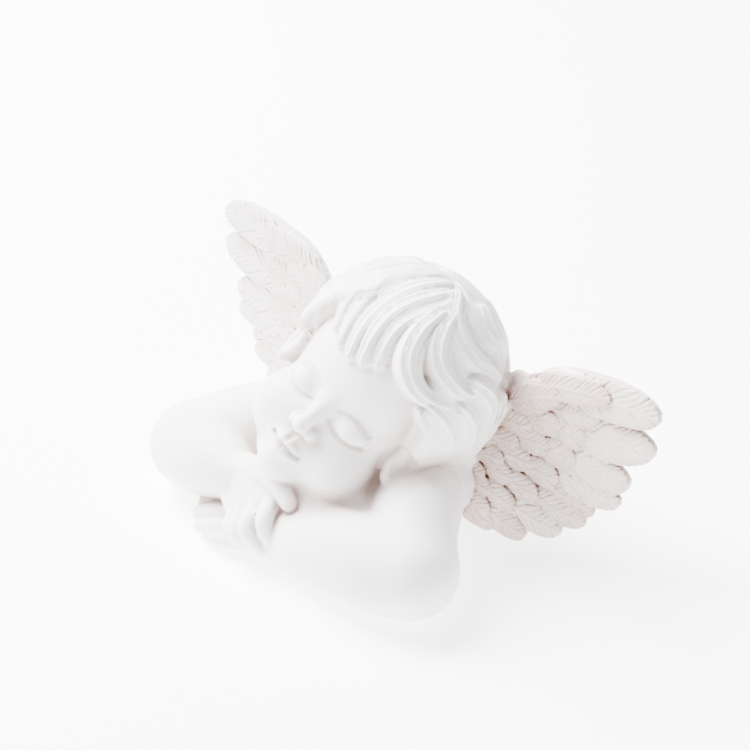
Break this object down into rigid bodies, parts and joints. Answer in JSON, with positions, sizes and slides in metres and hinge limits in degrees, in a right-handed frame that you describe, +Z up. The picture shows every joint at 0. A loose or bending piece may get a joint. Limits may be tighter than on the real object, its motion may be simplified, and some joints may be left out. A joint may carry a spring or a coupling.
{
  "type": "cherub bust",
  "caption": "Tabletop bust of a sleeping winged cherub resting its head on folded arms, cast in one piece with a flat underside.",
  "frame": {"origin": "middle of the footprint's bounding box, on the table", "axes": "+Z up, the figure faces -Y, +X towards its left wing tip"},
  "size_m": [0.216, 0.1142, 0.1028],
  "materials": {
    "cast_resin": "matte, off-white cast resin"
  },
  "bodies": {
    "root": {"cherub_bust": "cast_resin"}
  },
  "joints": []
}
